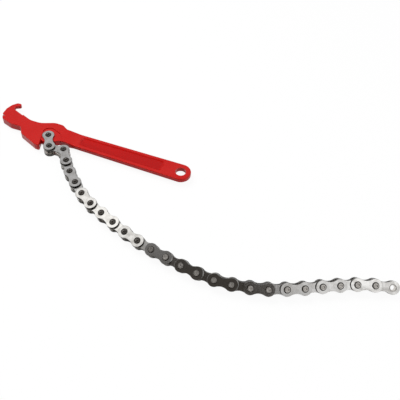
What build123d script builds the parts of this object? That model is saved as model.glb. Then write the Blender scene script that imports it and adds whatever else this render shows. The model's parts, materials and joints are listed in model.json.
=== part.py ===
from build123d import *
import math
import os

# A chain wrench for round oil filters: a forged lever with a hook at its head,
# and a bush chain pinned to the head, whose far end is free.
# Millimetres. +X runs along the lever from its head to its tail, and +Z is up.
# The origin is the centre of the hang hole, on the lever's middle plane.

os.makedirs("parts", exist_ok=True)

# Chain
link_count = 26
pitch = 12.7
plate_height = 9.8
waist_height = 6.5
plate_thickness = 1.0
inner_width = 3.3
bush_diameter = 5.0
pin_diameter = 3.6
rivet_diameter = 3.9
rivet_height = 1.0
pivot_clearance = 0.2
plate_gap = 0.4
plate_end_sides = 14
rivet_sides = 12

# Where the chain lies: each pair is a link's number and its value, and between two pairs the value runs straight
headings = [(1, -58), (2, 4), (3, -52), (6, -38), (8, -23), (10, -21), (13, -11), (15, -8), (20, 22), (22, 28),
            (24, 25), (26, 13)]
leans = [(1, 0), (3, 0), (18, 40), (26, 37)]

# Lever
head_thickness = 6.6
shaft_thickness = 4.0
shaft_width = 14.0
tail_radius = 8.4
hang_hole_diameter = 8.6
panel_depth = 0.8
panel_border = 2.6
panel_slope = 50
panel_corner = 2.5
edge_round = 0.7

# The first pin, in the lever's head, as seen from the hang hole
anchor_x = -116.9
anchor_y = -5.5
link_play = 0.6

# How far past the first pin the head's shoulders stand, where it starts to thin and where it has thinned to the shaft
shoulder = 11.0
upper_shoulder_radius = 6.0
lower_shoulder_radius = 2.5
head_end = 14.0
neck = 24.0

# The hook, thinned so that it goes in between the chain's inner plates
hook_play = 0.25
relief_x = -43.6
relief_y = 18.5
relief_radius = 12.4

# Sizes that follow
plate_radius = plate_height / 2
bush_bore = pin_diameter + 2 * pivot_clearance
bush_length = inner_width + 2 * plate_thickness
outer_gap = bush_length + 2 * plate_gap
outer_width = outer_gap + 2 * plate_thickness
pin_length = outer_width + 2 * rivet_height
lug_thickness = outer_gap - 2 * plate_gap
lug_radius = pitch - plate_radius - link_play
hook_thickness = inner_width - 2 * hook_play
neck_x = anchor_x + neck
shoulder_x = anchor_x + shoulder
panel_start = neck_x + panel_border
panel_end = -tail_radius - hang_hole_diameter / 2 - panel_border


def value_at(pairs, link):
    """A link's value, on the straight run between the pairs on each side of it."""
    for (first, start), (last, end) in zip(pairs, pairs[1:]):
        if link <= last:
            return start + (end - start) * (link - first) / (last - first)
    return pairs[-1][1]


def rise(pin):
    """How far a pin's centre lies above the first one, so that the leaning chain rests on the same surface."""
    lean = math.radians((value_at(leans, max(pin - 1, 1)) + value_at(leans, min(pin, link_count))) / 2)
    on_pin = pin_length / 2 * math.cos(lean) + rivet_diameter / 2 * math.sin(lean)
    on_plate = outer_width / 2 * math.cos(lean) + plate_radius * math.sin(lean)
    return max(on_pin, on_plate) - pin_length / 2


def pivots():
    """The centres of the chain's pivots, from the first pin to the open end."""
    points = [Vector(anchor_x, anchor_y, rise(1))]
    for link in range(1, link_count + 1):
        heading = math.radians(value_at(headings, link))
        climb = rise(link + 1) - rise(link)
        run = math.sqrt(pitch**2 - climb**2)
        points.append(points[-1] + Vector(run * math.cos(heading), run * math.sin(heading), climb))
    return points


def link_plane(link):
    """A link's own plane: its origin is the link's first pivot, X runs to the next one, and Z is along the pins."""
    start, end = pivot_points[link - 1], pivot_points[link]
    along = (end - start).normalized()
    side = along.cross(Vector(0, 0, 1)).normalized()
    lean = math.radians(value_at(leans, link))
    return Plane(origin=start, x_dir=along, z_dir=side.cross(along) * math.cos(lean) + side * math.sin(lean))


pivot_points = pivots()


def plate_outline():
    """One waisted side plate: a round end at each pivot, in flats, with straight flanks between them."""
    with BuildSketch(mode=Mode.PRIVATE) as outline:
        with Locations((0, 0), (pitch, 0)):
            RegularPolygon(plate_radius, plate_end_sides, rotation=180 / plate_end_sides)
        with Locations((pitch / 2, 0)):
            Rectangle(pitch - plate_radius, waist_height)
    return outline.sketch


def outer_link(name, plane):
    """Two side plates riveted to two pins, whose ends stand out of the plates."""
    with BuildPart() as link:
        for side in (1, -1):
            with BuildSketch(plane.offset(side * outer_gap / 2)):
                add(plate_outline())
            extrude(amount=side * plate_thickness)
        with BuildSketch(plane.offset(-outer_gap / 2)):
            with Locations((0, 0), (pitch, 0)):
                Circle(pin_diameter / 2)
        extrude(amount=outer_gap)
        for side in (1, -1):
            with BuildSketch(plane.offset(side * outer_width / 2)):
                with Locations((0, 0), (pitch, 0)):
                    RegularPolygon(rivet_diameter / 2, rivet_sides)
            extrude(amount=side * rivet_height)
    link.part.label = name
    export_step(link.part, f"parts/{name}.step")


def inner_link(name, plane):
    """Two side plates pressed onto two bushes, each open for a pin."""
    with BuildPart() as link:
        for side in (1, -1):
            with BuildSketch(plane.offset(side * inner_width / 2)):
                add(plate_outline())
            extrude(amount=side * plate_thickness)
        with BuildSketch(plane.offset(-inner_width / 2)):
            with Locations((0, 0), (pitch, 0)):
                Circle(bush_diameter / 2)
        extrude(amount=inner_width)
        with BuildSketch(plane.offset(-bush_length / 2)):
            with Locations((0, 0), (pitch, 0)):
                Circle(bush_bore / 2)
        extrude(amount=bush_length, mode=Mode.SUBTRACT)
    link.part.label = name
    export_step(link.part, f"parts/{name}.step")


# The lever's head seen from above: each corner as seen from the first pin, with the radius that rounds it
head_corners = [
    (5.3, 15.9, 4.0),
    (-2.3, 15.9, 9.0),
    (-13.6, 11.0, 14.0),
    (-23.6, 10.9, 14.0),
    (-44.9, 19.0, 1.0),
    (-44.9, 22.3, 1.0),
    (-41.2, 24.4, 1.1),
    (-41.9, 26.9, 1.1),
    (-45.6, 26.6, 3.0),
    (-48.9, 22.6, 6.0),
    (-50.8, 17.3, 6.0),
    (-50.6, 10.0, 1.2),
    (-46.4, 8.4, 0.8),
    (-48.4, 6.8, 1.1),
    (-46.4, 3.6, 3.0),
    (-37.0, 0.6, 8.0),
    (-26.9, 0.9, 3.0),
    (-22.7, -6.0, 2.5),
    (-6.1, -13.0, 3.0),
    (-1.9, -13.4, 1.3),
    (-5.1, -2.0, 1.0),
    (7.7, -3.7, 1.2),
]

# The recess round the first link, cut into both faces of the head
recess_corners = [
    (-1.34, -15.4, 0.5),
    (-7.43, 6.3, 4.0),
    (-1.7, 9.4, 5.0),
    (8.5, 5.7, 4.0),
    (13.5, -1.1, 3.0),
    (13.5, -15.4, 0.5),
]


def tail_tangent(x, y):
    """Where the straight line from this point touches the tail's round end."""
    distance = math.hypot(x, y)
    turn = math.copysign(math.acos(tail_radius / distance), y)
    angle = math.atan2(y, x) - turn
    return tail_radius * math.cos(angle), tail_radius * math.sin(angle)


def shaft_half_width(x):
    """Half the shaft's width at a place along it, between the neck and the tail's round end."""
    return shaft_width / 2 + (tail_radius - shaft_width / 2) * (x - shoulder_x) / -shoulder_x


with BuildPart() as handle:
    # The blank, cut from the outline seen from above
    upper_shoulder = (shoulder_x, shaft_width / 2)
    lower_shoulder = (shoulder_x, -shaft_width / 2)
    tail_top = tail_tangent(*upper_shoulder)
    tail_bottom = tail_tangent(*lower_shoulder)
    corners = [(anchor_x + x, anchor_y + y) for x, y, _ in head_corners]
    radii = [radius for _, _, radius in head_corners]
    with BuildSketch(Plane.XY.offset(-head_thickness / 2)):
        with BuildLine():
            FilletPolyline(tail_top, upper_shoulder, *corners, lower_shoulder, tail_bottom,
                           radius=[upper_shoulder_radius, *radii, lower_shoulder_radius])
            ThreePointArc(tail_bottom, (tail_radius, 0), tail_top)
        make_face()
    extrude(amount=head_thickness)

    # The thinner shaft, from the outline seen from the side
    head_stop = anchor_x + head_end
    past_tail = 2 * tail_radius
    for side in (1, -1):
        with BuildSketch(Plane.XZ):
            with BuildLine():
                Polyline((head_stop, side * head_thickness / 2), (neck_x, side * shaft_thickness / 2),
                         (past_tail, side * shaft_thickness / 2), (past_tail, side * head_thickness),
                         (head_stop, side * head_thickness), close=True)
            make_face()
        extrude(amount=past_tail, both=True, mode=Mode.SUBTRACT)
    fillet(handle.edges().filter_by(Axis.Z, reverse=True), edge_round)

    # The recess round the first link, the hook's relief and the panels along the shaft
    for side in (1, -1):
        with BuildSketch(Plane.XY.offset(side * lug_thickness / 2)):
            with BuildLine(Plane(origin=(anchor_x, anchor_y, 0))):
                FilletPolyline(*[(x, y) for x, y, _ in recess_corners],
                               radius=[radius for _, _, radius in recess_corners], close=True)
            make_face()
        extrude(amount=side * head_thickness, mode=Mode.SUBTRACT)
        with BuildSketch(Plane.XY.offset(side * hook_thickness / 2)):
            with Locations((anchor_x + relief_x, anchor_y + relief_y)):
                Circle(relief_radius)
        extrude(amount=side * head_thickness, mode=Mode.SUBTRACT)
        with BuildSketch(Plane((0, 0, side * shaft_thickness / 2), x_dir=(1, 0, 0), z_dir=(0, 0, side))) as panel:
            with BuildLine():
                Polyline((panel_start, shaft_half_width(panel_start) - panel_border),
                         (panel_end, shaft_half_width(panel_end) - panel_border),
                         (panel_end, panel_border - shaft_half_width(panel_end)),
                         (panel_start, panel_border - shaft_half_width(panel_start)), close=True)
            make_face()
            fillet(panel.vertices(), panel_corner)
        extrude(amount=-panel_depth, taper=panel_slope, mode=Mode.SUBTRACT)

    # The lug that the first link straddles, and the holes
    with BuildSketch(Plane.XY.offset(-lug_thickness / 2)):
        with Locations((anchor_x, anchor_y)):
            Circle(lug_radius)
    extrude(amount=lug_thickness)
    with Locations((0, 0)):
        Hole(hang_hole_diameter / 2)
    with Locations((anchor_x, anchor_y)):
        Hole(bush_bore / 2)
handle.part.label = "handle"
export_step(handle.part, "parts/handle.step")

for link in range(1, link_count + 1):
    number = f"{(link + 1) // 2:02d}"
    if link % 2:
        outer_link(f"outer_link_{number}", link_plane(link))
    else:
        inner_link(f"inner_link_{number}", link_plane(link))
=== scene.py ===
import json
from math import cos, radians, sin, sqrt, tau

import bpy
from bpy.props import FloatProperty, FloatVectorProperty, PointerProperty
from mathutils import Matrix, Vector


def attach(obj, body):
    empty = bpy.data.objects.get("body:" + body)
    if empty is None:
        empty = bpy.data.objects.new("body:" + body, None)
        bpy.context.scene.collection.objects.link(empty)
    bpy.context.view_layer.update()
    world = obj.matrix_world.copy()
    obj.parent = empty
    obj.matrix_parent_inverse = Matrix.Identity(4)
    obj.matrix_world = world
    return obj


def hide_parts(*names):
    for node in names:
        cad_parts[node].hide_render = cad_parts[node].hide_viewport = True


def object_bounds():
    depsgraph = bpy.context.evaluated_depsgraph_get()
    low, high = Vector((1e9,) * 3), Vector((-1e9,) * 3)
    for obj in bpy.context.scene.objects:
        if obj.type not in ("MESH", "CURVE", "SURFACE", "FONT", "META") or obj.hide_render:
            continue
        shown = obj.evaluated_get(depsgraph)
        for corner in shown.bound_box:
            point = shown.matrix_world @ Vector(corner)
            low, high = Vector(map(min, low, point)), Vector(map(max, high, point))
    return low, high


bl_info = {
    "name": "Chain Filter Wrench",
    "version": (1, 0, 0),
    "blender": (4, 5, 0),
    "location": "3D View > Sidebar > Wrench",
    "description": "Dresses a chain wrench for round oil filters with enamel, bright steel links and a plain stage",
    "category": "Object",
}

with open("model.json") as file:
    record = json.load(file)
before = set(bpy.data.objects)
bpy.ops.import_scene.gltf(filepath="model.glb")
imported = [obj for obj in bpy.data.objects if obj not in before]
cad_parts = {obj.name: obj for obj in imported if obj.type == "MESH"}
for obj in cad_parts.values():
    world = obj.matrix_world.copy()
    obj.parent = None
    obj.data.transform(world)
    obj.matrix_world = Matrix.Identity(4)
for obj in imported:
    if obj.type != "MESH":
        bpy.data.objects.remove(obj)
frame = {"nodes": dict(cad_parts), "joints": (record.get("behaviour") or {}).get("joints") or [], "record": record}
CAD_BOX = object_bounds()
MM = 0.001

LINKS = len(frame["joints"])
PIVOTS = [Vector(joint["pos_m"]) for joint in frame["joints"]]
PIVOTS += [Vector(mount["pos_m"]) for mount in frame["record"]["mounts"] if mount["name"] == "chain_end"]

# How far the links lean over, in degrees: each pair is a link's number and its lean
LEANS = [(1, 0), (3, 0), (18, 40), (26, 37)]


class ChainSizes(bpy.types.PropertyGroup):
    """Sizes of the bush chain."""
    pitch: FloatProperty(
        name="Pitch", description="Distance between two pins of a link", default=12.7 * MM, unit="LENGTH")
    plate_height: FloatProperty(
        name="Plate height", description="Height of a side plate at its round ends", default=9.8 * MM, unit="LENGTH")
    waist_height: FloatProperty(
        name="Waist height", description="Height of a side plate at its waist", default=6.5 * MM, unit="LENGTH")
    plate_thickness: FloatProperty(
        name="Plate thickness", description="Thickness of a side plate", default=1.0 * MM, unit="LENGTH")
    inner_width: FloatProperty(
        name="Inner width", description="Gap between the two inner plates", default=3.3 * MM, unit="LENGTH")
    plate_gap: FloatProperty(
        name="Plate gap", description="Play between an inner plate and an outer one", default=0.4 * MM,
        unit="LENGTH")
    bush_diameter: FloatProperty(
        name="Bush diameter", description="Outside of a bush", default=5.0 * MM, unit="LENGTH")
    bush_bore: FloatProperty(
        name="Bush bore", description="Inside of a bush", default=4.0 * MM, unit="LENGTH")
    pin_diameter: FloatProperty(
        name="Pin diameter", description="Diameter of a pin between the plates", default=3.6 * MM, unit="LENGTH")
    rivet_diameter: FloatProperty(
        name="Rivet diameter", description="Diameter of a pin's swaged end", default=3.9 * MM, unit="LENGTH")
    rivet_height: FloatProperty(
        name="Rivet height", description="How far a pin's end stands out of its plate", default=1.0 * MM,
        unit="LENGTH")
    rivet_rim: FloatProperty(
        name="Rivet rim", description="Width of the rim round the hollow in a pin's end", default=0.95 * MM,
        unit="LENGTH")
    # Width of the dark film of painted shade round each pin's end
    shade_film_ring: FloatProperty(
        name="Shade film ring", description="Diameter of the dark film of painted shade round a pin", default=5.2 * MM,
        unit="LENGTH")


class FinishLook(bpy.types.PropertyGroup):
    """Colours of the enamel and of the steel."""
    enamel: FloatVectorProperty(
        name="Enamel", description="Colour of the lever's enamel", subtype="COLOR", size=3,
        default=(0.57, 0.014, 0.011))
    # Deeper red, used for cloudy patches and as painted shade in the sunken panels
    enamel_deep_and_shade: FloatVectorProperty(
        name="Deep enamel and shade", description="Deeper red, in cloudy patches and as painted shade in the panels",
        subtype="COLOR", size=3, default=(0.52, 0.004, 0.003))
    # Painted shade: near-black red for the lever's sharp inward corners
    enamel_corner_shade: FloatVectorProperty(
        name="Corner shade enamel", description="Painted shade in sharp inward corners", subtype="COLOR", size=3,
        default=(0.24, 0.003, 0.003))
    plate: FloatVectorProperty(
        name="Plate steel", description="Colour of the bright side plates", subtype="COLOR", size=3,
        default=(0.8, 0.79, 0.77))
    plate_oiled: FloatVectorProperty(
        name="Oiled plate", description="Colour of a side plate in its dirty patches", subtype="COLOR", size=3,
        default=(0.5, 0.48, 0.45))
    # Near-black: the plates' dull punched edges, deepened as painted shade, and painted shade on the pins' flanks
    edge: FloatVectorProperty(
        name="Punched edge and shade", description="Colour of the plates' punched edges and of the pins' flanks",
        subtype="COLOR", size=3, default=(0.024, 0.021, 0.019))
    pin: FloatVectorProperty(
        name="Pin steel", description="Colour of the hardened pins and bushes", subtype="COLOR", size=3,
        default=(0.62, 0.59, 0.55))
    # Near-black of the film of painted shade round the pins
    shade_film: FloatVectorProperty(
        name="Pin shade film", description="Colour of the film of painted shade round the pins", subtype="COLOR", size=3,
        default=(0.03, 0.025, 0.02))
    # Painted shade on the pins near the lever; also one of the darks of the film round the pins
    pin_shade: FloatVectorProperty(
        name="Shaded pin", description="Painted shade on the pins near the lever", subtype="COLOR", size=3,
        default=(0.04, 0.034, 0.029))


class StageView(bpy.types.PropertyGroup):
    """Where the camera stands."""
    azimuth: FloatProperty(
        name="Azimuth", description="Turn of the camera round the wrench", default=radians(17.2), subtype="ANGLE")
    elevation: FloatProperty(
        name="Elevation", description="Height of the camera over the floor", default=radians(50.43),
        subtype="ANGLE")
    roll: FloatProperty(
        name="Roll", description="Tilt of the camera round its own line of sight", default=radians(3.97),
        subtype="ANGLE")
    distance: FloatProperty(
        name="Distance", description="From the camera to the floor", default=0.47626, unit="LENGTH")
    lens: FloatProperty(
        name="Lens", description="Focal length on a 36 mm sensor", default=54.0, min=1.0)
    target: FloatVectorProperty(
        name="Target", description="The point of the floor in the middle of the picture", subtype="TRANSLATION",
        size=3, default=(23.05 * MM, -16.41 * MM, -5.05 * MM))


# Modelling helpers

def clear_selection():
    """Leave nothing selected, so that the next operator acts on its own object only."""
    if bpy.context.mode != "OBJECT":
        bpy.ops.object.mode_set(mode="OBJECT")
    bpy.ops.object.select_all(action="DESELECT")


def take(*pieces):
    """Select these pieces alone, and make the first one active."""
    clear_selection()
    for piece in pieces:
        piece.select_set(True)
    bpy.context.view_layer.objects.active = pieces[0]


def disc(name, radius, depth, height, sides=48, along=0.0):
    """A round slab, with its axis upright."""
    clear_selection()
    bpy.ops.mesh.primitive_cylinder_add(
        vertices=sides, radius=radius, depth=depth, location=(along, 0, height), rotation=(0, 0, tau / sides / 2))
    piece = bpy.context.object
    piece.name = name
    bpy.ops.object.transform_apply(location=True, rotation=True, scale=True)
    return piece


def pick_faces(piece, test):
    """In edit mode, select the faces whose centre and normal pass the test."""
    bpy.ops.object.mode_set(mode="OBJECT")
    for part in (piece.data.vertices, piece.data.edges, piece.data.polygons):
        part.foreach_set("select", [False] * len(part))
    for face in piece.data.polygons:
        face.select = test(face.center, face.normal)
    bpy.ops.object.mode_set(mode="EDIT")
    bpy.ops.mesh.select_mode(type="FACE")


def use_modifier(piece, kind, **settings):
    """Add a modifier, set it and apply it."""
    take(piece)
    modifier = piece.modifiers.new(kind.title(), kind)
    for key, value in settings.items():
        setattr(modifier, key, value)
    bpy.ops.object.modifier_apply(modifier=modifier.name)


def join(*pieces):
    """Make one piece of several."""
    take(*pieces)
    bpy.ops.object.join()
    return pieces[0]


# Links

def side_plate(sizes, name, height, hole):
    """One waisted side plate with a hole at each end, its middle plane at this height."""
    radius, waist = sizes.plate_height / 2, sizes.waist_height / 2
    middle = sizes.pitch / 2
    flank = (middle**2 + waist**2 - radius**2) / (2 * (radius - waist))
    start = radius * middle / (radius + flank)

    def half_height(x):
        return waist + flank - sqrt(flank**2 - (middle - x) ** 2)

    plate = disc(name, radius, sizes.plate_thickness, height)
    bpy.ops.object.mode_set(mode="EDIT")
    bpy.ops.mesh.select_all(action="SELECT")
    bpy.ops.mesh.bisect(plane_co=(start, 0, 0), plane_no=(1, 0, 0), clear_outer=True, use_fill=True)
    steps = 6
    for step in range(steps):
        here = start + (middle - start) * step / steps
        there = start + (middle - start) * (step + 1) / steps
        pick_faces(plate, lambda centre, normal, edge=here: normal.x > 0.99 and abs(centre.x - edge) < 0.02 * MM)
        bpy.ops.mesh.extrude_region_move(TRANSFORM_OT_translate={"value": (there - here, 0, 0)})
        bpy.ops.transform.resize(value=(1, half_height(there) / half_height(here), 1))
    pick_faces(plate, lambda centre, normal: normal.x > 0.99 and abs(centre.x - middle) < 0.02 * MM)
    bpy.ops.mesh.delete(type="FACE")
    clear_selection()
    take(plate)
    bpy.context.scene.cursor.location = (middle, 0, 0)
    bpy.ops.object.origin_set(type="ORIGIN_CURSOR")
    use_modifier(plate, "MIRROR", use_axis=(True, False, False), merge_threshold=0.01 * MM)
    bpy.ops.object.transform_apply(location=True, rotation=True, scale=True)
    bpy.context.scene.cursor.location = (0, 0, 0)
    for along in (0, sizes.pitch):
        cutter = disc("cutter", hole / 2, 3 * sizes.plate_thickness, height, 32, along)
        use_modifier(plate, "BOOLEAN", operation="DIFFERENCE", object=cutter, solver="EXACT")
        bpy.data.objects.remove(cutter)
    use_modifier(plate, "BEVEL", width=0.16 * MM, segments=2, limit_method="ANGLE", angle_limit=radians(40))
    for finish in ("Plate steel", "Punched edge and shade"):
        plate.data.materials.append(bpy.data.materials[finish])
    # The plates' walls take the near-black edge finish: dull punched steel, deepened as painted shade between the
    # plates
    for face in plate.data.polygons:
        face.material_index = int(abs(face.normal.z) < 0.5)
    return plate


def pin(sizes, along):
    """A pin with a rivet head at each end, rounded at its rim and hollow in the middle."""
    width = sizes.inner_width + 4 * sizes.plate_thickness + 2 * sizes.plate_gap
    shank = disc("pin", sizes.pin_diameter / 2, width, 0, 32, along)
    tall = sizes.rivet_height + sizes.plate_thickness / 2
    heads = []
    for side in (1, -1):
        head = disc("head", sizes.rivet_diameter / 2, tall, side * (width - sizes.plate_thickness + tall) / 2, 32, along)
        pick_faces(head, lambda centre, normal: normal.z * side > 0.99)
        bpy.ops.mesh.inset(thickness=sizes.rivet_rim, depth=0)
        bpy.ops.mesh.inset(thickness=0.2 * MM, depth=-0.45 * MM)
        bpy.ops.object.mode_set(mode="OBJECT")
        use_modifier(head, "BEVEL", width=0.25 * MM, segments=3, limit_method="ANGLE", angle_limit=radians(50))
        heads.append(head)
    for piece in (shank, *heads):
        for finish in ("Pin steel", "Punched edge and shade"):
            piece.data.materials.append(bpy.data.materials[finish])
        # The pins' flanks and the walls of their hollows take the near-black edge finish as painted shade
        for face in piece.data.polygons:
            face.material_index = int(abs(face.normal.z) < 0.1)
    return join(shank, *heads)


def shade_film(sizes, along, height):
    """A dark film of painted shade round a pin's end, thinning to nothing at its edge."""
    film = disc("shade_film", sizes.shade_film_ring / 2, 0.06 * MM, height, 32, along)
    pick_faces(film, lambda centre, normal: abs(normal.z) > 0.99)
    bpy.ops.mesh.inset(thickness=0.3 * MM, depth=0.06 * MM)
    bpy.ops.object.mode_set(mode="OBJECT")
    film.data.materials.append(bpy.data.materials["Pin shade film"])
    return film


def bush(sizes, along):
    """A bush, open for a pin."""
    length = sizes.inner_width + 2 * sizes.plate_thickness + 0.1 * MM
    tube = disc("bush", sizes.bush_diameter / 2, length, 0, 32, along)
    cutter = disc("cutter", sizes.bush_bore / 2, 2 * length, 0, 32, along)
    use_modifier(tube, "BOOLEAN", operation="DIFFERENCE", object=cutter, solver="EXACT")
    bpy.data.objects.remove(cutter)
    use_modifier(tube, "BEVEL", width=0.08 * MM, segments=2, limit_method="ANGLE", angle_limit=radians(50))
    tube.data.materials.append(bpy.data.materials["Pin steel"])
    return tube


def lean_of(link):
    """How far a link leans over, on the straight run between the pairs on each side of it."""
    for (first, start), (last, end) in zip(LEANS, LEANS[1:]):
        if link <= last:
            return radians(start + (end - start) * (link - first) / (last - first))
    return radians(LEANS[-1][1])


def link_matrix(link):
    """A link's own axes: X from its first pivot to its next one, and Z along its pins."""
    start, end = PIVOTS[link - 1], PIVOTS[link]
    along = (end - start).normalized()
    side = along.cross(Vector((0, 0, 1))).normalized()
    up = side.cross(along) * cos(lean_of(link)) + side * sin(lean_of(link))
    turn = Matrix((along, up.cross(along), up)).transposed()
    return Matrix.Translation(start) @ turn.to_4x4()


def lay_links(pattern, first, node_stem, piece_stem):
    """Copy the pattern to every other link of the chain, each copy standing for its own CAD node."""
    for link in range(first, LINKS + 1, 2):
        number = f"{(link + 1) // 2:02d}"
        piece = pattern.copy()
        piece.data = pattern.data.copy()
        piece.name = piece.data.name = f"{piece_stem}_{number}"
        bpy.context.scene.collection.objects.link(piece)
        piece.matrix_world = link_matrix(link)
        take(piece)
        bpy.ops.object.transform_apply(location=True, rotation=True, scale=True)
        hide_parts(f"{node_stem}_{number}")
        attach(piece, f"{node_stem}_{number}")
    bpy.data.objects.remove(pattern)


# Materials

def node_group(name, inputs, outputs):
    """An empty shader node group with these float or colour sockets, and its two end nodes."""
    group = bpy.data.node_groups.new(name, "ShaderNodeTree")
    for direction, sockets in (("INPUT", inputs), ("OUTPUT", outputs)):
        for label, kind, *start in sockets:
            socket = group.interface.new_socket(label, in_out=direction, socket_type=f"NodeSocket{kind}")
            if start:
                socket.default_value = start[0]
    return group, group.nodes.new("NodeGroupInput"), group.nodes.new("NodeGroupOutput")


def add_node(tree, kind, links=None, **settings):
    """Add a node, set its properties, and fill its sockets by name or number with values or other sockets."""
    node = tree.nodes.new(f"ShaderNode{kind}")
    for key, value in settings.items():
        setattr(node, key, value)
    for key, value in (links or {}).items():
        socket = node.inputs[key]
        if isinstance(value, bpy.types.NodeSocket):
            tree.links.new(value, socket)
        else:
            socket.default_value = value
    return node


def mottle_group():
    """Cloudy patches and fine grain, as masks, from a place on the piece."""
    group, start, end = node_group(
        "Mottle",
        [("Patch Scale", "Float", 90.0), ("Grain Scale", "Float", 1500.0)],
        [("Patches", "Float"), ("Grain", "Float")])
    place = add_node(group, "TexCoord").outputs["Object"]
    patches = add_node(group, "TexNoise", {"Vector": place, "Scale": start.outputs["Patch Scale"], "Detail": 3.0,
                                           "Roughness": 0.6})
    grain = add_node(group, "TexNoise", {"Vector": place, "Scale": start.outputs["Grain Scale"], "Detail": 2.0})
    group.links.new(patches.outputs["Fac"], end.inputs["Patches"])
    group.links.new(grain.outputs["Fac"], end.inputs["Grain"])
    return group


def edge_group():
    """Where the surface turns outwards sharply, broken up by grain, and where it turns inwards, as masks."""
    group, start, end = node_group(
        "Worn Edges",
        [("Threshold", "Float", 0.53), ("Width", "Float", 0.05), ("Break Up", "Float", 0.5), ("Grain", "Float", 0.5)],
        [("Edges", "Float"), ("Hollows", "Float")])
    turn = add_node(group, "NewGeometry").outputs["Pointiness"]
    group.links.new(spread(group, turn, 0.48, 0.42), end.inputs["Hollows"])
    broken = add_node(group, "Math", {0: start.outputs["Grain"], 1: start.outputs["Break Up"]},
                      operation="MULTIPLY")
    limit = add_node(group, "Math", {0: start.outputs["Threshold"], 1: broken.outputs[0]}, operation="ADD")
    top = add_node(group, "Math", {0: limit.outputs[0], 1: start.outputs["Width"]}, operation="ADD")
    edges = add_node(group, "MapRange", {"Value": turn, "From Min": limit.outputs[0], "From Max": top.outputs[0]})
    group.links.new(edges.outputs["Result"], end.inputs["Edges"])
    return group


def place_group(tree, group, links=None):
    """Put a shared group into a material."""
    node = tree.nodes.new("ShaderNodeGroup")
    node.node_tree = group
    for key, value in (links or {}).items():
        if isinstance(value, bpy.types.NodeSocket):
            tree.links.new(value, node.inputs[key])
        else:
            node.inputs[key].default_value = value
    return node.outputs


def new_material(name):
    """An empty material, its tree and its Principled shader."""
    material = bpy.data.materials.new(name)
    material.use_nodes = True
    tree = material.node_tree
    tree.nodes.clear()
    shader = tree.nodes.new("ShaderNodeBsdfPrincipled")
    output = tree.nodes.new("ShaderNodeOutputMaterial")
    tree.links.new(shader.outputs["BSDF"], output.inputs["Surface"])
    return material, tree, shader


def blend_colours(tree, mask, low, high):
    """A colour between two, by a mask."""
    mix = add_node(tree, "Mix", {"Factor": mask}, data_type="RGBA")
    for socket, value in ((mix.inputs[6], low), (mix.inputs[7], high)):
        if isinstance(value, bpy.types.NodeSocket):
            tree.links.new(value, socket)
        else:
            socket.default_value = (*value, 1)
    return mix.outputs[2]


def spread(tree, value, low, high, to_low=0.0, to_high=1.0):
    """Stretch a mask from one range to another."""
    return add_node(tree, "MapRange", {"Value": value, "From Min": low, "From Max": high, "To Min": to_low,
                                       "To Max": to_high}).outputs["Result"]


def chain_steel(name, bright, dark, mottle, edges, gloss, shade_span=None):
    """Steel of the chain: the gloss is its lowest and highest roughness, and the last argument is where along X the
    pins' painted shade fades out.
    """
    material, tree, shader = new_material(name)
    masks = place_group(tree, mottle, {"Patch Scale": 260.0, "Grain Scale": 2600.0})
    worn = place_group(tree, edges, {"Threshold": 0.5, "Width": 0.05, "Break Up": 0.05, "Grain": masks["Grain"]})
    dirt_and_shade = spread(tree, masks["Patches"], 0.4, 0.75)
    if shade_span:
        # Painted shade: in place of random patches, the pins darken towards the lever end of the chain
        place = add_node(tree, "TexCoord").outputs["Object"]
        along = add_node(tree, "SeparateXYZ", {"Vector": place}).outputs["X"]
        unshaded = spread(tree, along, *shade_span)
        dirt_and_shade = add_node(tree, "Math", {0: 1.0, 1: unshaded}, operation="SUBTRACT").outputs[0]
    base = blend_colours(tree, dirt_and_shade, bright, dark)
    colour = blend_colours(tree, worn["Edges"], base, bright)
    tree.links.new(colour, shader.inputs["Base Color"])
    tree.links.new(spread(tree, masks["Patches"], 0.3, 0.7, *gloss), shader.inputs["Roughness"])
    shader.inputs["Metallic"].default_value = 1.0
    bump = add_node(tree, "Bump", {"Height": masks["Grain"], "Strength": 0.12, "Distance": 0.03 * MM})
    tree.links.new(bump.outputs["Normal"], shader.inputs["Normal"])
    return material


def shade_film_finish(look, mottle):
    """A near-black film of painted shade, in patches of two darks, glossier in some places and duller in others."""
    material, tree, shader = new_material("Pin shade film")
    masks = place_group(tree, mottle, {"Patch Scale": 600.0, "Grain Scale": 2600.0})
    colour = blend_colours(tree, spread(tree, masks["Patches"], 0.35, 0.7), look.shade_film, look.pin_shade)
    tree.links.new(colour, shader.inputs["Base Color"])
    tree.links.new(spread(tree, masks["Patches"], 0.3, 0.7, 0.25, 0.5), shader.inputs["Roughness"])
    bump = add_node(tree, "Bump", {"Height": masks["Grain"], "Strength": 0.15, "Distance": 0.03 * MM})
    tree.links.new(bump.outputs["Normal"], shader.inputs["Normal"])
    return material


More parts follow.
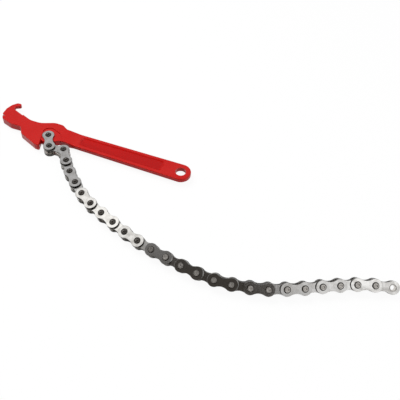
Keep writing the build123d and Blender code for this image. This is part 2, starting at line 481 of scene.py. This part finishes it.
def red_enamel(look, mottle, edges):
    """Glossy dipped enamel over a forging, cloudy; painted shade deepens it in the panels and darkens sharp inward
    corners.
    """
    material, tree, shader = new_material("Red enamel")
    masks = place_group(tree, mottle, {"Patch Scale": 45.0, "Grain Scale": 420.0})
    turns = place_group(tree, edges)
    place = add_node(tree, "TexCoord").outputs["Object"]
    height = add_node(tree, "SeparateXYZ", {"Vector": place}).outputs["Z"]
    height = add_node(tree, "Math", {0: height}, operation="ABSOLUTE").outputs[0]
    # Painted shade: the red deepens on the sunken panel floors and low on their walls
    panel_shade = spread(tree, height, 1.38 * MM, 1.22 * MM)
    cloudy = spread(tree, masks["Patches"], 0.4, 0.8, 0.0, 0.8)
    colour = blend_colours(tree, cloudy, look.enamel, look.enamel_deep_and_shade)
    colour = blend_colours(tree, panel_shade, colour, look.enamel_deep_and_shade)
    # Painted shade: the red darkens most in sharp inward corners
    colour = blend_colours(tree, turns["Hollows"], colour, look.enamel_corner_shade)
    tree.links.new(colour, shader.inputs["Base Color"])
    tree.links.new(spread(tree, masks["Patches"], 0.3, 0.7, 0.18, 0.28), shader.inputs["Roughness"])
    shader.inputs["Specular IOR Level"].default_value = 0.2
    shader.inputs["Coat Weight"].default_value = 0.08
    shader.inputs["Coat Roughness"].default_value = 0.08
    bump = add_node(tree, "Bump", {"Height": masks["Grain"], "Strength": 0.12, "Distance": 0.1 * MM})
    tree.links.new(bump.outputs["Normal"], shader.inputs["Normal"])
    return material


def wall_mask(tree, facing, azimuth, elevation, inner, outer):
    """A round patch of the room, in degrees, soft between its inner and outer angle, as a mask."""
    turn, rise = radians(azimuth), radians(elevation)
    middle = (cos(turn) * cos(rise), sin(turn) * cos(rise), sin(rise))
    near = add_node(tree, "VectorMath", {0: facing, 1: middle}, operation="DOT_PRODUCT").outputs["Value"]
    return spread(tree, near, cos(radians(outer)), cos(radians(inner)))


# Operators

class WRENCH_OT_finishes(bpy.types.Operator):
    """Make the enamel and the steel, and give the lever its enamel"""
    bl_idname = "wrench.finishes"
    bl_label = "Finishes"

    def execute(self, context):
        look = context.scene.wrench_look
        mottle, edges = mottle_group(), edge_group()
        chain_steel("Plate steel", look.plate, look.plate_oiled, mottle, edges, (0.12, 0.22))
        chain_steel("Punched edge and shade", look.edge, look.edge, mottle, edges, (0.35, 0.55))
        chain_steel("Pin steel", look.pin, look.pin_shade, mottle, edges, (0.28, 0.42), (PIVOTS[11].x, PIVOTS[13].x))
        shade_film_finish(look, mottle)
        lever = frame["nodes"]["handle"]
        lever.data.materials.clear()
        lever.data.materials.append(red_enamel(look, mottle, edges))
        return {"FINISHED"}


class WRENCH_OT_outer_links(bpy.types.Operator):
    """Model a riveted link and lay it at every other place of the chain"""
    bl_idname = "wrench.outer_links"
    bl_label = "Outer links"

    def execute(self, context):
        sizes = context.scene.wrench_chain
        level = sizes.inner_width / 2 + sizes.plate_thickness * 1.5 + sizes.plate_gap
        pieces = [side_plate(sizes, "outer_plate", side * level, sizes.pin_diameter) for side in (1, -1)]
        pieces += [pin(sizes, along) for along in (0, sizes.pitch)]
        surface = level + sizes.plate_thickness / 2
        # A dark film of painted shade round each pin's end, on both plates
        pieces += [shade_film(sizes, along, side * surface) for along in (0, sizes.pitch) for side in (1, -1)]
        pattern = join(*pieces)
        bpy.ops.object.shade_smooth_by_angle(angle=radians(20))
        lay_links(pattern, 1, "outer_link", "riveted_link")
        return {"FINISHED"}


class WRENCH_OT_inner_links(bpy.types.Operator):
    """Model a bushed link and lay it at the places between"""
    bl_idname = "wrench.inner_links"
    bl_label = "Inner links"

    def execute(self, context):
        sizes = context.scene.wrench_chain
        level = sizes.inner_width / 2 + sizes.plate_thickness / 2
        pieces = [side_plate(sizes, "inner_plate", side * level, sizes.bush_diameter) for side in (1, -1)]
        pieces += [bush(sizes, along) for along in (0, sizes.pitch)]
        pattern = join(*pieces)
        bpy.ops.object.shade_smooth_by_angle(angle=radians(20))
        lay_links(pattern, 2, "inner_link", "bushed_link")
        return {"FINISHED"}


class WRENCH_OT_stage(bpy.types.Operator):
    """Lay the floor, light the wrench and place the camera"""
    bl_idname = "wrench.stage"
    bl_label = "Stage"

    def execute(self, context):
        view = context.scene.wrench_view
        scene = context.scene
        scene.view_settings.view_transform = "Standard"

        # The floor, white to the camera and to the metal's reflections, and shaded by the lamps elsewhere
        clear_selection()
        bpy.ops.mesh.primitive_plane_add(size=40.0, location=(0, 0, CAD_BOX[0][2]))
        floor = bpy.context.object
        floor.name = "floor"
        bpy.ops.object.transform_apply(location=True, rotation=True, scale=True)
        material, tree, shader = new_material("Floor")
        shader.inputs["Base Color"].default_value = (0.5, 0.5, 0.5, 1)
        shader.inputs["Roughness"].default_value = 0.9
        path = add_node(tree, "LightPath")
        seen = add_node(tree, "Math", {0: path.outputs["Is Camera Ray"], 1: path.outputs["Is Glossy Ray"]},
                        operation="MAXIMUM")
        seen = add_node(tree, "Math", {0: seen.outputs[0], 1: path.outputs["Is Transmission Ray"]},
                        operation="MAXIMUM")
        glow = add_node(tree, "Emission", {"Strength": 1.09})
        white = add_node(tree, "Math", {0: seen.outputs[0], 1: 0.85}, operation="MULTIPLY")
        mix = add_node(tree, "MixShader", {0: white.outputs[0], 1: shader.outputs[0], 2: glow.outputs[0]})
        tree.links.new(mix.outputs[0], tree.nodes["Material Output"].inputs["Surface"])
        floor.data.materials.append(material)

        # The room: grey, dark behind the camera and low on the far side, with two soft windows for the steel to show
        world = bpy.data.worlds.new("Room")
        world.use_nodes = True
        scene.world = world
        sky = world.node_tree
        facing = add_node(sky, "TexCoord").outputs["Generated"]
        shade = (0.52, 0.52, 0.53)
        for azimuth, elevation, inner, outer, colour in (
            (-100, 42, 27, 44, (0.05, 0.044, 0.039)),
            (107, 2, 24, 40, (0.04, 0.04, 0.04)),
            (168, 60, 10, 17, (1.22, 1.21, 1.19)),
            (-38, 56, 12.5, 16.5, (1.25, 1.25, 1.25)),
        ):
            shade = blend_colours(sky, wall_mask(sky, facing, azimuth, elevation, inner, outer), shade, colour)
        sky.links.new(shade, sky.nodes["Background"].inputs["Color"])

        # The lamps, which the steel doesn't mirror
        for name, place, size, power in (
            ("key", (-0.45, 0.1, 0.8), 0.5, 4.2),
            ("fill", (0.5, -0.35, 0.75), 0.7, 2.2),
        ):
            lamp = bpy.data.lights.new(name, "AREA")
            lamp.size, lamp.energy = size, power
            stand = bpy.data.objects.new(name, lamp)
            scene.collection.objects.link(stand)
            stand.location = place
            stand.rotation_euler = (Vector(view.target) - Vector(place)).to_track_quat("-Z", "Y").to_euler()
            stand.visible_glossy = False

        # The camera
        ahead = Vector((-sin(view.azimuth) * cos(view.elevation), cos(view.azimuth) * cos(view.elevation),
                        -sin(view.elevation)))
        level = Vector((cos(view.azimuth), sin(view.azimuth), 0))
        above = level.cross(ahead)
        right = level * cos(view.roll) + above * sin(view.roll)
        up = above * cos(view.roll) - level * sin(view.roll)
        lens = bpy.data.cameras.new("camera")
        lens.sensor_width, lens.lens = 36.0, view.lens
        lens.clip_start, lens.clip_end = 0.01, 20.0
        camera = bpy.data.objects.new("camera", lens)
        scene.collection.objects.link(camera)
        turn = Matrix((right, up, -ahead)).transposed().to_4x4()
        camera.matrix_world = Matrix.Translation(Vector(view.target) - ahead * view.distance) @ turn
        scene.camera = camera
        return {"FINISHED"}


class WRENCH_PT_panel(bpy.types.Panel):
    """Lists the wrench's sizes, colours and steps"""
    bl_label = "Chain Filter Wrench"
    bl_space_type = "VIEW_3D"
    bl_region_type = "UI"
    bl_category = "Wrench"

    def draw(self, context):
        scene = context.scene
        for group in (scene.wrench_chain, scene.wrench_look, scene.wrench_view):
            box = self.layout.box()
            for name in group.__annotations__:
                box.prop(group, name)
        for operator in OPERATORS:
            self.layout.operator(operator.bl_idname)


GROUPS = {"wrench_chain": ChainSizes, "wrench_look": FinishLook, "wrench_view": StageView}
OPERATORS = (WRENCH_OT_finishes, WRENCH_OT_outer_links, WRENCH_OT_inner_links, WRENCH_OT_stage)


def register():
    for kind in (*GROUPS.values(), *OPERATORS, WRENCH_PT_panel):
        bpy.utils.register_class(kind)
    for name, kind in GROUPS.items():
        setattr(bpy.types.Scene, name, PointerProperty(type=kind))


def unregister():
    for name in GROUPS:
        delattr(bpy.types.Scene, name)
    for kind in (WRENCH_PT_panel, *OPERATORS, *GROUPS.values()):
        bpy.utils.unregister_class(kind)


def main():
    register()
    bpy.ops.wrench.finishes()
    bpy.ops.wrench.outer_links()
    bpy.ops.wrench.inner_links()
    bpy.ops.wrench.stage()


if __name__ == "__main__":
    main()
